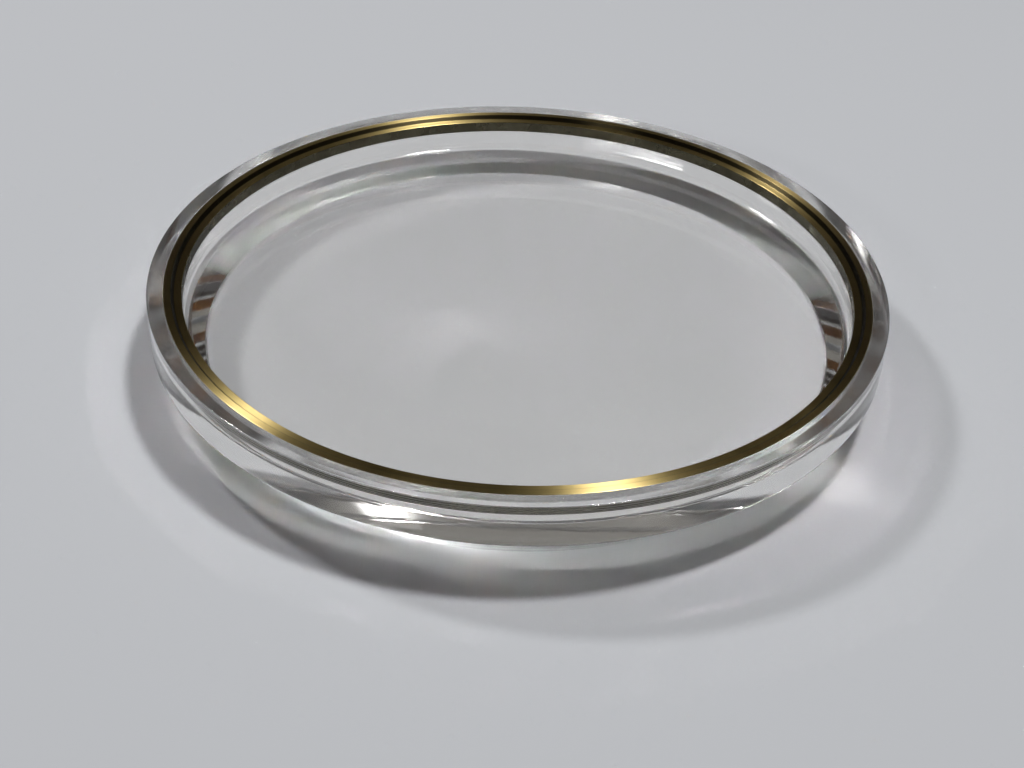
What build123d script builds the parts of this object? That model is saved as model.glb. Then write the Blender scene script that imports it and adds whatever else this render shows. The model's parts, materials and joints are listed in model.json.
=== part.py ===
from build123d import *
import os

# Armoured watch crystal, in millimetres. It lies as in the photograph: the flat front of the window is
# down at z = 0, the open mouth and the metal tension ring face up, and everything turns about the Z axis.

# Clear crystal
outer_diameter = 32.0          # outside of the skirt, which presses into the case
window_thickness = 2.55        # from the flat front to the floor of the hollow
sill_height = 0.90             # bare inner wall between the floor and the ring
skirt_wall = 0.70              # plastic outside the ring, at the mouth
bevel_width = 2.30             # slope round the front, measured along the radius
bevel_height = 2.30            # the same slope, measured along the axis
floor_fillet_radius = 0.30     # foot of the inner wall
front_edge_radius = 0.12       # where the flat front meets the slope
skirt_edge_radius = 0.12       # where the slope meets the skirt
mouth_edge_radius = 0.06       # outer rim of the mouth

# Tension ring
ring_height = 0.70             # from its seat to the mouth, where it lies flush
outer_land_width = 0.31        # high land beside the skirt
step_width = 0.13              # slope between the two lands
inner_land_width = 0.33        # low land beside the hollow
step_depth = 0.18              # how far the inner land lies below the outer one
ring_edge_radius = 0.03        # turned edges of the ring

outer_radius = outer_diameter / 2
seat_radius = outer_radius - skirt_wall
hollow_radius = seat_radius - outer_land_width - step_width - inner_land_width
front_radius = outer_radius - bevel_width
seat_level = window_thickness + sill_height
mouth_level = seat_level + ring_height


def turned(outline, rounds):
    """Spin an outline of (radius, height) corners about Z, with some of its corners rounded."""
    with BuildPart() as piece:
        with BuildSketch(Plane.XZ) as section:
            with BuildLine():
                Polyline(*outline, close=True)
            make_face()
            for corner, radius in rounds:
                vertex = section.vertices().sort_by_distance((*corner, 0))[0]
                fillet(vertex, radius)
        revolve(axis=Axis.Z)
    return piece.part


def crystal():
    """One piece of clear plastic: window, bevelled front edge, skirt and the seat cut for the ring."""
    front_edge = (front_radius, 0)
    skirt_edge = (outer_radius, bevel_height)
    mouth_edge = (outer_radius, mouth_level)
    floor_edge = (hollow_radius, window_thickness)
    outline = [
        (0, 0),
        front_edge,
        skirt_edge,
        mouth_edge,
        (seat_radius, mouth_level),
        (seat_radius, seat_level),
        (hollow_radius, seat_level),
        floor_edge,
        (0, window_thickness),
    ]
    rounds = [
        (front_edge, front_edge_radius),
        (skirt_edge, skirt_edge_radius),
        (mouth_edge, mouth_edge_radius),
        (floor_edge, floor_fillet_radius),
    ]
    return turned(outline, rounds)


def tension_ring():
    """The pressed-in metal ring: a high outer land, a sloping step and a low inner land."""
    top_edge = (seat_radius, mouth_level)
    land_edge = (seat_radius - outer_land_width, mouth_level)
    step_foot = (seat_radius - outer_land_width - step_width, mouth_level - step_depth)
    inner_edge = (hollow_radius, mouth_level - step_depth)
    outline = [
        (seat_radius, seat_level),
        top_edge,
        land_edge,
        step_foot,
        inner_edge,
        (hollow_radius, seat_level),
    ]
    rounds = [(corner, ring_edge_radius) for corner in (top_edge, land_edge, inner_edge)]
    return turned(outline, rounds)


os.makedirs("parts", exist_ok=True)
for name, piece in (("crystal", crystal()), ("tension_ring", tension_ring())):
    piece.label = name
    export_step(piece, f"parts/{name}.step")
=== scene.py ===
"""A clear acrylic watch crystal with a turned metal tension ring, lying front down in a small studio."""

import json
import math

import bmesh
import bpy
from bpy.props import FloatProperty, FloatVectorProperty, IntProperty, PointerProperty
from bpy.types import Operator, Panel, PropertyGroup
from mathutils import Matrix, Vector


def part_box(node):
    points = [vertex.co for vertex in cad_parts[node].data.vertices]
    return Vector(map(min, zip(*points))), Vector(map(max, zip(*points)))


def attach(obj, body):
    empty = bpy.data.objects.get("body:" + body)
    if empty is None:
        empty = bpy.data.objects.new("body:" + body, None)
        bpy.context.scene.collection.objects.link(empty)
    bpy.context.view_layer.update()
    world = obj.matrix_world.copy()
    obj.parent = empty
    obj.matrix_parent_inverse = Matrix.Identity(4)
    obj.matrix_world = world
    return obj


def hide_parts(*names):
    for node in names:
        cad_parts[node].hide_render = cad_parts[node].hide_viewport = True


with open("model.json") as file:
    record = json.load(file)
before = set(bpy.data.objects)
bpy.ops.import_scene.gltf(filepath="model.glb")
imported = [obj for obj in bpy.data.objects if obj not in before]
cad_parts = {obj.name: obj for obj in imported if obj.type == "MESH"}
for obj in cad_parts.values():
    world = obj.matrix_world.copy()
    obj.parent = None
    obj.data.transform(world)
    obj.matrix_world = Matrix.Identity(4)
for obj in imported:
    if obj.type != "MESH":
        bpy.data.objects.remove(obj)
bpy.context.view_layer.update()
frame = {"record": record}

bl_info = {
    "name": "Watch Crystal",
    "version": (1, 0, 0),
    "blender": (4, 5, 0),
    "location": "3D View > Sidebar > Watch Crystal",
    "description": "A clear acrylic watch crystal, its turned tension ring and a plain studio",
    "category": "Add Mesh",
}

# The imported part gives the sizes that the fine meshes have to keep.
MM = 0.001
CRYSTAL_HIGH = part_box("crystal")[1]
RING_LOW, RING_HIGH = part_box("tension_ring")
MOUNTS = {mount["name"]: mount for mount in frame["record"]["mounts"]}
HOLLOW_RADIUS = MOUNTS["ring_bore"]["dims"]["r_mm"] * MM


def linear(hex_colour):
    """An sRGB colour such as "#c8b070" as linear red, green and blue."""
    channels = [int(hex_colour[at:at + 2], 16) / 255 for at in (1, 3, 5)]
    return [c / 12.92 if c <= 0.04045 else ((c + 0.055) / 1.055) ** 2.4 for c in channels]


def length(name, description, default):
    """A length in metres that a user can change."""
    return FloatProperty(
        name=name, description=description, default=default, min=0.0, precision=6,
        subtype="DISTANCE", unit="LENGTH",
    )


def colour(name, description, default):
    """A colour that a user can change, given as sRGB hex."""
    return FloatVectorProperty(
        name=name, description=description, default=linear(default), min=0.0, max=1.0,
        size=3, subtype="COLOR",
    )


class WatchCrystalBody(PropertyGroup):
    """Sizes and colour of the clear piece."""

    outer_radius: length("Outer radius", "Outside of the skirt", CRYSTAL_HIGH.x)
    height: length("Height", "From the flat front to the mouth", CRYSTAL_HIGH.z)
    window: length("Window thickness", "From the flat front to the floor of the hollow", 2.55 * MM)
    hollow_radius: length("Hollow radius", "Inner wall below the ring", HOLLOW_RADIUS)
    bevel_width: length("Bevel width", "Slope round the front, along the radius", 2.30 * MM)
    bevel_height: length("Bevel height", "Slope round the front, along the axis", 2.30 * MM)
    floor_fillet: length("Floor fillet", "Foot of the inner wall", 0.30 * MM)
    edge_round: length("Edge round", "Edges at both ends of the slope", 0.12 * MM)
    mouth_round: length("Mouth round", "Outer rim of the mouth", 0.06 * MM)
    air_film: length("Air film", "Air that stays between the ring and its seat", 0.005 * MM)
    tint: colour("Tint", "Colour of the clear plastic", "#fdfcf9")


class WatchCrystalRing(PropertyGroup):
    """Sizes and colours of the tension ring."""

    seat_radius: length("Seat radius", "Outside of the ring", RING_HIGH.x)
    seat_level: length("Seat level", "Underside of the ring", RING_LOW.z)
    top_level: length("Top level", "The high land, flush with the mouth", RING_HIGH.z)
    outer_land: length("Outer land", "Width of the high land beside the skirt", 0.31 * MM)
    step_width: length("Step width", "Slope between the two lands", 0.13 * MM)
    step_depth: length("Step depth", "How far the inner land lies below the outer one", 0.18 * MM)
    edge_round: length("Edge round", "Turned edges", 0.03 * MM)
    metal: colour("Metal", "Turned brass where it is cleanest", "#b8a36c")
    tarnish: colour("Tarnish", "The same metal where it has dulled", "#85764a")
    # Painted shade: a dark tone laid on the ring's walls, standing in for the shaded floor that they mirror.
    wall_shade_tone: colour("Patina", "Brass in the bore and at the outer wall, dark with age", "#615d4d")
    browned: colour("Browned", "Brass under the ring, where damp has stood", "#a8743c")
    # Grime colour: random stains on the walls and underside, and the painted shade along the corner of the
    # step.
    grime_and_step_shade: colour("Grime", "Old grease in the corner of the step", "#2a261c")


class WatchCrystalStage(PropertyGroup):
    """Floor, light and camera."""

    floor_radius: length("Floor radius", "Half the width of the floor", 1.8)
    lamp_distance: length("Lamp distance", "From the crystal to each lamp", 0.30)
    floor_colour: colour("Floor", "Matt painted board", "#b8babe")
    lens: FloatProperty(name="Lens", description="Focal length of the camera", default=57.66, unit="CAMERA")
    pitch: FloatProperty(
        name="Pitch", description="How far the camera looks down", default=math.radians(35.83),
        subtype="ANGLE", unit="ROTATION",
    )
    roll: FloatProperty(
        name="Roll", description="How far the camera leans", default=math.radians(2.42),
        subtype="ANGLE", unit="ROTATION",
    )


class WatchCrystalSettings(PropertyGroup):
    """Everything a user would change."""

    steps: IntProperty(name="Steps", description="Faces round each turned piece", default=360, min=24)
    body: PointerProperty(type=WatchCrystalBody)
    ring: PointerProperty(type=WatchCrystalRing)
    stage: PointerProperty(type=WatchCrystalStage)


# Meshes

HOLD = 0.015 * MM                # beyond a round, a second point keeps the flat beside it shaded flat
WELD = 0.0001 * MM               # points closer than this are one
ROUND_SEGMENTS = 8
SHARP_ANGLE = math.radians(25)
FLAT_SHARE = 0.999               # a normal that is this much vertical belongs to a level face
WALL_SHARE = 0.5                 # one that is less vertical than this belongs to a wall


def put_in_order(mesh):
    """Sort edges and faces by their points, because spin leaves them in a different order on each run."""
    mesh.verts.index_update()
    points = len(mesh.verts)

    def edge_place(edge):
        low, high = sorted(vert.index for vert in edge.verts)
        return low * points + high

    def face_place(face):
        return face.verts[0].index * points + face.verts[1].index

    mesh.edges.sort(key=edge_place)
    mesh.faces.sort(key=face_place)


def turned_piece(name, corners, steps):
    """Spin an outline of (radius, height, round) corners about Z and return the object.

    An outline that starts and ends on the axis makes a solid of its own; any other one is closed first.
    """
    mesh = bmesh.new()
    places = [Vector((radius, 0, height)) for radius, height, _ in corners]
    on_axis = places[0].x == 0 and places[-1].x == 0
    outline, turns = [], []
    for at, (_, _, rounding) in enumerate(corners):
        here = places[at]
        end = on_axis and at in (0, len(corners) - 1)
        if end or rounding == 0:
            outline.append(mesh.verts.new(here))
            continue
        before = (places[at - 1] - here).normalized()
        after = (places[(at + 1) % len(places)] - here).normalized()
        reach = rounding / math.tan(before.angle(after) / 2)
        outline.append(mesh.verts.new(here + before * (reach + HOLD)))
        tip = mesh.verts.new(here)
        outline.append(tip)
        turns.append((tip, reach))
        outline.append(mesh.verts.new(here + after * (reach + HOLD)))
    pairs = list(zip(outline, outline[1:]))
    if not on_axis:
        pairs.append((outline[-1], outline[0]))
    for pair in pairs:
        mesh.edges.new(pair)
    for tip, reach in turns:
        bmesh.ops.bevel(
            mesh, geom=[tip], offset=reach, offset_type="OFFSET", segments=ROUND_SEGMENTS,
            profile=0.5, affect="VERTICES", material=-1,
        )
    bmesh.ops.spin(
        mesh, geom=mesh.verts[:] + mesh.edges[:], cent=(0, 0, 0), axis=(0, 0, 1),
        angle=math.tau, steps=steps, use_merge=True,
    )
    bmesh.ops.remove_doubles(mesh, verts=mesh.verts, dist=WELD)
    bmesh.ops.recalc_face_normals(mesh, faces=mesh.faces)
    put_in_order(mesh)
    data = bpy.data.meshes.new(name)
    mesh.to_mesh(data)
    mesh.free()
    data.shade_smooth()
    data.set_sharp_from_angle(angle=SHARP_ANGLE)
    piece = bpy.data.objects.new(name, data)
    bpy.context.scene.collection.objects.link(piece)
    return piece


# Materials

ACRYLIC_IOR = 1.49
PASSED_LIGHT = (0.98, 0.98, 0.98)      # through one face of the window, with what it sends back down
ACROSS = 0.25                          # a quarter turn, so that lamps are drawn out along the radius
COLOUR_A, COLOUR_B, MIXED = 6, 7, 2    # the sockets of a Mix node that hold colours


def add_node(tree, kind, inputs=None, **settings):
    """Add a node, set its own settings, then set or link its inputs."""
    node = tree.nodes.new(kind)
    for name, value in settings.items():
        setattr(node, name, value)
    for key, value in (inputs or {}).items():
        if isinstance(value, bpy.types.NodeSocket):
            tree.links.new(value, node.inputs[key])
        else:
            node.inputs[key].default_value = value
    return node


def new_material(name):
    """An empty node material and its node tree."""
    material = bpy.data.materials.new(name)
    material.use_nodes = True
    material.node_tree.nodes.clear()
    return material, material.node_tree


def rgba(rgb):
    """A colour with full alpha."""
    return (*rgb, 1.0)


def polished_acrylic_skirt(tint):
    """Turned and polished acrylic: clear, but faint waves and tool marks bend and break what it mirrors."""
    wave_size, wave_depth = 3.0 * MM, 0.002 * MM         # hollows that the polishing leaves
    mark_size, mark_depth = 0.09 * MM, 0.0004 * MM       # the lathe's feed for each turn
    material, tree = new_material("polished_acrylic_skirt")
    place = add_node(tree, "ShaderNodeTexCoord").outputs["Object"]
    height = add_node(tree, "ShaderNodeSeparateXYZ", {"Vector": place}).outputs["Z"]
    waves = add_node(
        tree, "ShaderNodeTexNoise", {"Vector": place, "Scale": 1 / wave_size, "Detail": 0.0},
    )
    marks = add_node(
        tree, "ShaderNodeTexNoise", {"W": height, "Scale": 1 / mark_size, "Detail": 2.0},
        noise_dimensions="1D",
    )
    waved = add_node(
        tree, "ShaderNodeBump", {"Height": waves.outputs["Fac"], "Strength": 1.0, "Distance": wave_depth},
    )
    marked = add_node(
        tree, "ShaderNodeBump",
        {
            "Height": marks.outputs["Fac"], "Strength": 1.0, "Distance": mark_depth,
            "Normal": waved.outputs["Normal"],
        },
    )
    surface = add_node(
        tree, "ShaderNodeBsdfPrincipled",
        {
            "Base Color": rgba(tint),
            "Roughness": 0.0,
            "IOR": ACRYLIC_IOR,
            "Transmission Weight": 1.0,
            "Normal": marked.outputs["Normal"],
        },
    )
    add_node(tree, "ShaderNodeOutputMaterial", {"Surface": surface.outputs["BSDF"]})
    return material


def polished_acrylic_window(tint):
    """The flat window of the same acrylic: as clear as glass, so light reaches the floor unbent."""
    wave_size, wave_depth = 2.5 * MM, 0.002 * MM
    material, tree = new_material("polished_acrylic_window")
    place = add_node(tree, "ShaderNodeTexCoord").outputs["Object"]
    waves = add_node(
        tree, "ShaderNodeTexNoise", {"Vector": place, "Scale": 1 / wave_size, "Detail": 1.0},
    )
    waved = add_node(
        tree, "ShaderNodeBump", {"Height": waves.outputs["Fac"], "Strength": 1.0, "Distance": wave_depth},
    )
    surface = add_node(
        tree, "ShaderNodeBsdfPrincipled",
        {
            "Base Color": rgba(tint),
            "Roughness": 0.0,
            "IOR": ACRYLIC_IOR,
            "Transmission Weight": 1.0,
            "Normal": waved.outputs["Normal"],
        },
    )
    passed = add_node(tree, "ShaderNodeBsdfTransparent", {"Color": rgba(PASSED_LIGHT)})
    path = add_node(tree, "ShaderNodeLightPath")
    shader = surface.outputs["BSDF"]
    for ray in ("Is Diffuse Ray", "Is Shadow Ray"):
        mixed = add_node(
            tree, "ShaderNodeMixShader", {0: path.outputs[ray], 1: shader, 2: passed.outputs["BSDF"]},
        )
        shader = mixed.outputs["Shader"]
    add_node(tree, "ShaderNodeOutputMaterial", {"Surface": shader})
    return material


def turned_acrylic_seat(tint):
    """The ring's seat, left as the tool cut it: satin, so it blurs what the skirt mirrors."""
    mark_size = 0.06 * MM                                # the lathe's feed for each turn
    material, tree = new_material("turned_acrylic_seat")
    place = add_node(tree, "ShaderNodeTexCoord").outputs["Object"]
    height = add_node(tree, "ShaderNodeSeparateXYZ", {"Vector": place}).outputs["Z"]
    marks = add_node(
        tree, "ShaderNodeTexNoise", {"W": height, "Scale": 1 / mark_size, "Detail": 2.0},
        noise_dimensions="1D",
    )
    satin = add_node(
        tree, "ShaderNodeMapRange",
        {"Value": marks.outputs["Fac"], "From Min": 0.3, "From Max": 0.7, "To Min": 0.20, "To Max": 0.32},
    )
    surface = add_node(
        tree, "ShaderNodeBsdfPrincipled",
        {
            "Base Color": rgba(tint),
            "Roughness": satin.outputs["Result"],
            "IOR": ACRYLIC_IOR,
            "Transmission Weight": 1.0,
        },
    )
    add_node(tree, "ShaderNodeOutputMaterial", {"Surface": surface.outputs["BSDF"]})
    return material


def faced_acrylic_mouth(tint):
    """The mouth's end face, cut flat and handled since: satin in soft patches that blur what is under it."""
    patch_size = 1.2 * MM                                # about one finger mark
    material, tree = new_material("faced_acrylic_mouth")
    place = add_node(tree, "ShaderNodeTexCoord").outputs["Object"]
    patches = add_node(
        tree, "ShaderNodeTexNoise", {"Vector": place, "Scale": 1 / patch_size, "Detail": 0.0},
    )
    satin = add_node(
        tree, "ShaderNodeMapRange",
        {"Value": patches.outputs["Fac"], "From Min": 0.3, "From Max": 0.7, "To Min": 0.16, "To Max": 0.26},
    )
    surface = add_node(
        tree, "ShaderNodeBsdfPrincipled",
        {
            "Base Color": rgba(tint),
            "Roughness": satin.outputs["Result"],
            "IOR": ACRYLIC_IOR,
            "Transmission Weight": 1.0,
        },
    )
    add_node(tree, "ShaderNodeOutputMaterial", {"Surface": surface.outputs["BSDF"]})
    return material


def turned_brass(metal, tarnish, grime_and_step_shade, step_middle, step_width):
    """Fine turned brass, dulled with age: lines round the ring draw each lamp out across its width.

    A thin dark line of painted shade lies in the corner of the step, in the grime colour.
    """
    line_size, line_depth = 0.05 * MM, 0.001 * MM        # the lathe's feed for each turn
    dull_size = 2.2 * MM
    step_shade_edge, step_shade_end = 0.35 * step_width, 0.75 * step_width
    material, tree = new_material("turned_brass")
    place = add_node(tree, "ShaderNodeTexCoord").outputs["Object"]
    flat = add_node(
        tree, "ShaderNodeVectorMath", {0: place, 1: (1.0, 1.0, 0.0)}, operation="MULTIPLY",
    )
    radius = add_node(
        tree, "ShaderNodeVectorMath", {0: flat.outputs["Vector"]}, operation="LENGTH",
    )
    lines = add_node(
        tree, "ShaderNodeTexNoise",
        {"W": radius.outputs["Value"], "Scale": 1 / line_size, "Detail": 2.0},
        noise_dimensions="1D",
    )
    dull = add_node(
        tree, "ShaderNodeTexNoise", {"Vector": place, "Scale": 1 / dull_size, "Detail": 2.0},
    )
    share = add_node(
        tree, "ShaderNodeMapRange",
        {"Value": dull.outputs["Fac"], "From Min": 0.45, "From Max": 0.75, "To Min": 0.0, "To Max": 0.7},
    )
    base = add_node(
        tree, "ShaderNodeMix",
        {"Factor": share.outputs["Result"], COLOUR_A: rgba(metal), COLOUR_B: rgba(tarnish)},
        data_type="RGBA",
    )
    # Painted shade: the grime colour, strongest along the middle of the step, makes a thin dark line there.
    beside = add_node(
        tree, "ShaderNodeMath", {0: radius.outputs["Value"], 1: step_middle}, operation="SUBTRACT",
    )
    apart = add_node(tree, "ShaderNodeMath", {0: beside.outputs["Value"]}, operation="ABSOLUTE")
    step_shade_share = add_node(
        tree, "ShaderNodeMapRange",
        {
            "Value": apart.outputs["Value"], "From Min": step_shade_edge, "From Max": step_shade_end,
            "To Min": 0.95, "To Max": 0.0,
        },
    )
    step_shaded_base = add_node(
        tree, "ShaderNodeMix",
        {"Factor": step_shade_share.outputs["Result"], COLOUR_A: base.outputs[MIXED], COLOUR_B: rgba(grime_and_step_shade)},
        data_type="RGBA",
    )
    roughness = add_node(
        tree, "ShaderNodeMapRange",
        {"Value": dull.outputs["Fac"], "From Min": 0.3, "From Max": 0.8, "To Min": 0.30, "To Max": 0.34},
    )
    cut = add_node(
        tree, "ShaderNodeBump", {"Height": lines.outputs["Fac"], "Strength": 1.0, "Distance": line_depth},
    )
    surface = add_node(
        tree, "ShaderNodeBsdfPrincipled",
        {
            "Base Color": step_shaded_base.outputs[MIXED],
            "Metallic": 1.0,
            "Roughness": roughness.outputs["Result"],
            "Anisotropic": 1.0,
            "Anisotropic Rotation": ACROSS,
            "Normal": cut.outputs["Normal"],
        },
    )
    add_node(tree, "ShaderNodeOutputMaterial", {"Surface": surface.outputs["BSDF"]})
    return material


def stained_brass(name, tone, grime_and_step_shade):
    """Brass in one tone, mottled with grime stains: the walls' dark tone is painted shade for the shaded
    floor they mirror, and the underside's tone is brown.
    """
    stain_size = 1.5 * MM
    material, tree = new_material(name)
    place = add_node(tree, "ShaderNodeTexCoord").outputs["Object"]
    stain = add_node(
        tree, "ShaderNodeTexNoise", {"Vector": place, "Scale": 1 / stain_size, "Detail": 3.0},
    )
    share = add_node(
        tree, "ShaderNodeMapRange",
        {"Value": stain.outputs["Fac"], "From Min": 0.4, "From Max": 0.75, "To Min": 0.0, "To Max": 0.6},
    )
    base = add_node(
        tree, "ShaderNodeMix",
        {"Factor": share.outputs["Result"], COLOUR_A: rgba(tone), COLOUR_B: rgba(grime_and_step_shade)},
        data_type="RGBA",
    )
    roughness = add_node(
        tree, "ShaderNodeMapRange",
        {"Value": stain.outputs["Fac"], "From Min": 0.3, "From Max": 0.8, "To Min": 0.22, "To Max": 0.36},
    )
    surface = add_node(
        tree, "ShaderNodeBsdfPrincipled",
        {
            "Base Color": base.outputs[MIXED],
            "Metallic": 1.0,
            "Roughness": roughness.outputs["Result"],
            "Anisotropic": 0.7,
            "Anisotropic Rotation": ACROSS,
        },
    )
    add_node(tree, "ShaderNodeOutputMaterial", {"Surface": surface.outputs["BSDF"]})
    return material


def painted_board(paint):
    """Matt painted board: an even pale tone that only softens the light."""
    material, tree = new_material("painted_board")
    surface = add_node(
        tree, "ShaderNodeBsdfPrincipled", {"Base Color": rgba(paint), "Roughness": 0.85},
    )
    add_node(tree, "ShaderNodeOutputMaterial", {"Surface": surface.outputs["BSDF"]})
    return material


# Operators

class MESH_OT_watch_crystal_body(Operator):
    """Turn the clear crystal: window, sloping front edge, skirt and the seat for the ring"""

    bl_idname = "mesh.watch_crystal_body"
    bl_label = "Clear Crystal"

    def execute(self, context):
        settings = context.scene.watch_crystal
        body, ring = settings.body, settings.ring
        # The ring grips only at its high spots. The air between makes its seat a mirror, seen from inside.
        seat_radius = ring.seat_radius + body.air_film
        seat_level = ring.seat_level - body.air_film
        corners = [
            (0, 0, 0),
            (body.outer_radius - body.bevel_width, 0, body.edge_round),
            (body.outer_radius, body.bevel_height, body.edge_round),
            (body.outer_radius, body.height, body.mouth_round),
            (seat_radius, body.height, 0),
            (seat_radius, seat_level, 0),
            (body.hollow_radius, seat_level, 0),
            (body.hollow_radius, body.window, body.floor_fillet),
            (0, body.window, 0),
        ]
        piece = turned_piece("clear_crystal", corners, settings.steps)
        finishes = (
            polished_acrylic_skirt, polished_acrylic_window, turned_acrylic_seat, faced_acrylic_mouth,
        )
        for finish in finishes:
            piece.data.materials.append(finish(body.tint))
        # Every face starts as skirt, the first finish.
        window, seat, mouth = range(1, len(finishes))
        for face in piece.data.polygons:
            out, up = face.center.xy.length, face.center.z
            level = abs(face.normal.z) > FLAT_SHARE
            if body.hollow_radius < out < seat_radius and up > seat_level - body.air_film:
                face.material_index = seat
            elif level and up < seat_level:
                face.material_index = window
            elif level:
                face.material_index = mouth
        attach(piece, "root")
        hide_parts("crystal")
        return {"FINISHED"}


class MESH_OT_watch_crystal_ring(Operator):
    """Turn the stepped metal ring that holds the skirt against the case"""

    bl_idname = "mesh.watch_crystal_ring"
    bl_label = "Tension Ring"

    def execute(self, context):
        settings = context.scene.watch_crystal
        body, ring = settings.body, settings.ring
        land_edge = ring.seat_radius - ring.outer_land
        step_foot = land_edge - ring.step_width
        low_land = ring.top_level - ring.step_depth
        corners = [
            (ring.seat_radius, ring.seat_level, ring.edge_round),
            (ring.seat_radius, ring.top_level, ring.edge_round),
            (land_edge, ring.top_level, ring.edge_round),
            (step_foot, low_land, ring.edge_round),
            (body.hollow_radius, low_land, ring.edge_round),
            (body.hollow_radius, ring.seat_level, ring.edge_round),
        ]
        piece = turned_piece("tension_ring_metal", corners, settings.steps)
        step_middle = land_edge - ring.step_width / 2
        metals = (
            turned_brass(ring.metal, ring.tarnish, ring.grime_and_step_shade, step_middle, ring.step_width),
            stained_brass("brass_walls_painted_shade", ring.wall_shade_tone, ring.grime_and_step_shade),
            stained_brass("browned_brass", ring.browned, ring.grime_and_step_shade),
        )
        for metal in metals:
            piece.data.materials.append(metal)
        # Every face starts as turned brass, the first metal.
        shaded_walls, browned = range(1, len(metals))
        for face in piece.data.polygons:
            # Walls get the dark wall tone as painted shade; faces that look down get the brown tone.
            if abs(face.normal.z) < WALL_SHARE:
                face.material_index = shaded_walls
            elif face.normal.z < 0:
                face.material_index = browned
        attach(piece, "root")
        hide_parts("tension_ring")
        return {"FINISHED"}


FLOOR_DROP = 0.01 * MM                                       # keeps the front clear of the floor
CAMERA_PLACE = (-0.11 * MM, -61.0 * MM, 42.07 * MM)          # puts the ring where the photograph has it

# Each lamp: name, where it hangs as shares of its distance, width, height, and share of the floor's light.
LAMPS = (
    ("key_lamp", (0.24, 0.05, 0.97), 0.038, 0.038, 0.65),
    ("left_lamp", (-0.55, 0.36, 0.755), 0.036, 0.036, 0.27),
    ("front_right_lamp", (0.36, -0.623, 0.695), 0.055, 0.045, 0.014),
    ("front_left_lamp", (-0.441, -0.765, 0.469), 0.080, 0.012, 0.036),
)

# The room by the sine of the height angle: grey at the foot, dark, a paler band, and dark overhead.
ROOM_TONES = (
    (0.00, "#5a5b5d"),
    (0.12, "#565759"),
    (0.24, "#2e2c2b"),
    (0.58, "#2e2c2b"),
    (0.64, "#75736f"),
    (0.74, "#75736f"),
    (0.82, "#333130"),
    (1.00, "#333130"),
)


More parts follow.
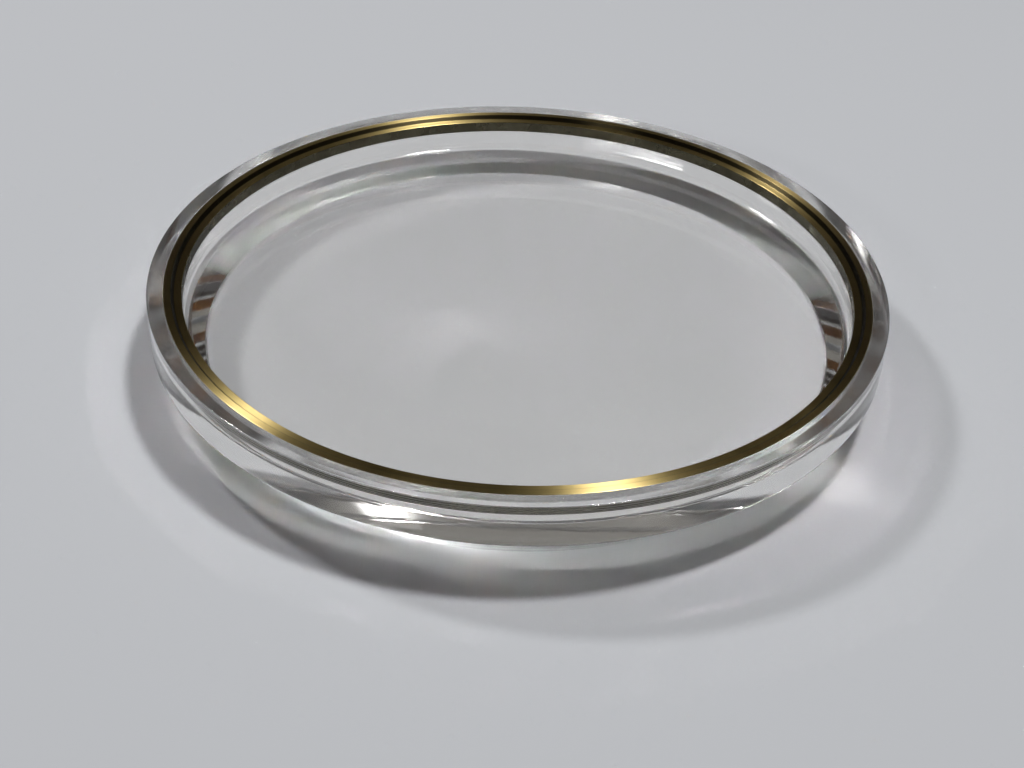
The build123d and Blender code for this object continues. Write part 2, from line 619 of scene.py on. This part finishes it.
class SCENE_OT_watch_crystal_stage(Operator):
    """Lay the pale floor, light it softly and set the camera"""

    bl_idname = "scene.watch_crystal_stage"
    bl_label = "Studio"

    def execute(self, context):
        stage = context.scene.watch_crystal.stage
        self.lay_floor(context, stage)
        self.light_room(context)
        for name, place_shares, width, height, share in LAMPS:
            self.hang_lamp(context, name, Vector(place_shares), stage.lamp_distance, (width, height), share)
        self.set_camera(context, stage)
        context.scene.view_settings.view_transform = "Standard"
        # Light is thrown to and fro many times inside the skirt before it comes out.
        context.scene.cycles.max_bounces = 32
        context.scene.cycles.transmission_bounces = 32
        context.scene.cycles.glossy_bounces = 24
        # Nothing is blurred or cut off, so that the light through the skirt falls where it should.
        context.scene.cycles.blur_glossy = 0.0
        context.scene.cycles.sample_clamp_indirect = 0.0
        return {"FINISHED"}

    def lay_floor(self, context, stage):
        """A wide round floor just under the flat front."""
        mesh = bmesh.new()
        bmesh.ops.create_circle(mesh, cap_ends=True, segments=128, radius=stage.floor_radius)
        bmesh.ops.translate(mesh, vec=(0, 0, -FLOOR_DROP), verts=mesh.verts)
        data = bpy.data.meshes.new("studio_floor")
        mesh.to_mesh(data)
        mesh.free()
        floor = bpy.data.objects.new("studio_floor", data)
        context.scene.collection.objects.link(floor)
        data.materials.append(painted_board(stage.floor_colour))

    def light_room(self, context):
        """The room's own soft light, which the metal and the plastic mirror."""
        world = bpy.data.worlds.new("studio_room")
        context.scene.world = world
        world.use_nodes = True
        tree = world.node_tree
        tree.nodes.clear()
        direction = add_node(tree, "ShaderNodeTexCoord").outputs["Generated"]
        height = add_node(tree, "ShaderNodeSeparateXYZ", {"Vector": direction}).outputs["Z"]
        ramp = add_node(tree, "ShaderNodeValToRGB", {"Fac": height})
        ramp.color_ramp.interpolation = "EASE"
        stops = ramp.color_ramp.elements
        while len(stops) < len(ROOM_TONES):
            stops.new(0.5)
        # All stops are placed before any is coloured, because the ramp sorts them as they move.
        for stop, (at, _) in zip(stops, ROOM_TONES):
            stop.position = at
        for stop, (_, tone) in zip(stops, ROOM_TONES):
            stop.color = rgba(linear(tone))
        background = add_node(tree, "ShaderNodeBackground", {"Color": ramp.outputs["Color"]})
        add_node(tree, "ShaderNodeOutputWorld", {"Surface": background.outputs["Background"]})

    def hang_lamp(self, context, name, direction, distance, size, share):
        """A soft lamp that points at the crystal and gives the floor that share of its light.

        From this far off it is small, so its watts follow from the distance and the slant of its light.
        """
        direction = direction.normalized()
        light = bpy.data.lights.new(name, "AREA")
        light.shape = "ELLIPSE"
        light.size, light.size_y = size
        light.energy = share * math.pi ** 2 * distance ** 2 / direction.z
        lamp = bpy.data.objects.new(name, light)
        lamp.location = direction * distance
        lamp.rotation_euler = (-direction).to_track_quat("-Z", "Y").to_euler()
        context.scene.collection.objects.link(lamp)

    def set_camera(self, context, stage):
        """Close above the near side, looking down across the mouth."""
        data = bpy.data.cameras.new("photo_camera")
        data.sensor_width = 36.0
        data.lens = stage.lens
        data.clip_start = 0.001
        data.clip_end = 5.0
        camera = bpy.data.objects.new("photo_camera", data)
        context.scene.collection.objects.link(camera)
        place = Matrix.Translation(CAMERA_PLACE)
        tilt = Matrix.Rotation(math.pi / 2 - stage.pitch, 4, "X")
        lean = Matrix.Rotation(stage.roll, 4, "Z")
        camera.matrix_world = place @ tilt @ lean
        context.scene.camera = camera


class VIEW3D_PT_watch_crystal(Panel):
    """Sizes, colours and the steps that make the crystal."""

    bl_label = "Watch Crystal"
    bl_idname = "VIEW3D_PT_watch_crystal"
    bl_space_type = "VIEW_3D"
    bl_region_type = "UI"
    bl_category = "Watch Crystal"

    def draw(self, context):
        settings = context.scene.watch_crystal
        self.layout.prop(settings, "steps")
        for group, operator in (
            (settings.body, MESH_OT_watch_crystal_body),
            (settings.ring, MESH_OT_watch_crystal_ring),
            (settings.stage, SCENE_OT_watch_crystal_stage),
        ):
            box = self.layout.box()
            for name in group.__annotations__:
                box.prop(group, name)
            box.operator(operator.bl_idname)


CLASSES = (
    WatchCrystalBody,
    WatchCrystalRing,
    WatchCrystalStage,
    WatchCrystalSettings,
    MESH_OT_watch_crystal_body,
    MESH_OT_watch_crystal_ring,
    SCENE_OT_watch_crystal_stage,
    VIEW3D_PT_watch_crystal,
)


def register():
    """Add the classes and the settings to Blender."""
    for kind in CLASSES:
        bpy.utils.register_class(kind)
    bpy.types.Scene.watch_crystal = PointerProperty(type=WatchCrystalSettings)


def unregister():
    """Take the settings and the classes out again."""
    del bpy.types.Scene.watch_crystal
    for kind in reversed(CLASSES):
        bpy.utils.unregister_class(kind)


def main():
    """Make the stage, then every piece."""
    register()
    bpy.ops.scene.watch_crystal_stage()
    bpy.ops.mesh.watch_crystal_body()
    bpy.ops.mesh.watch_crystal_ring()


if __name__ == "__main__":
    main()
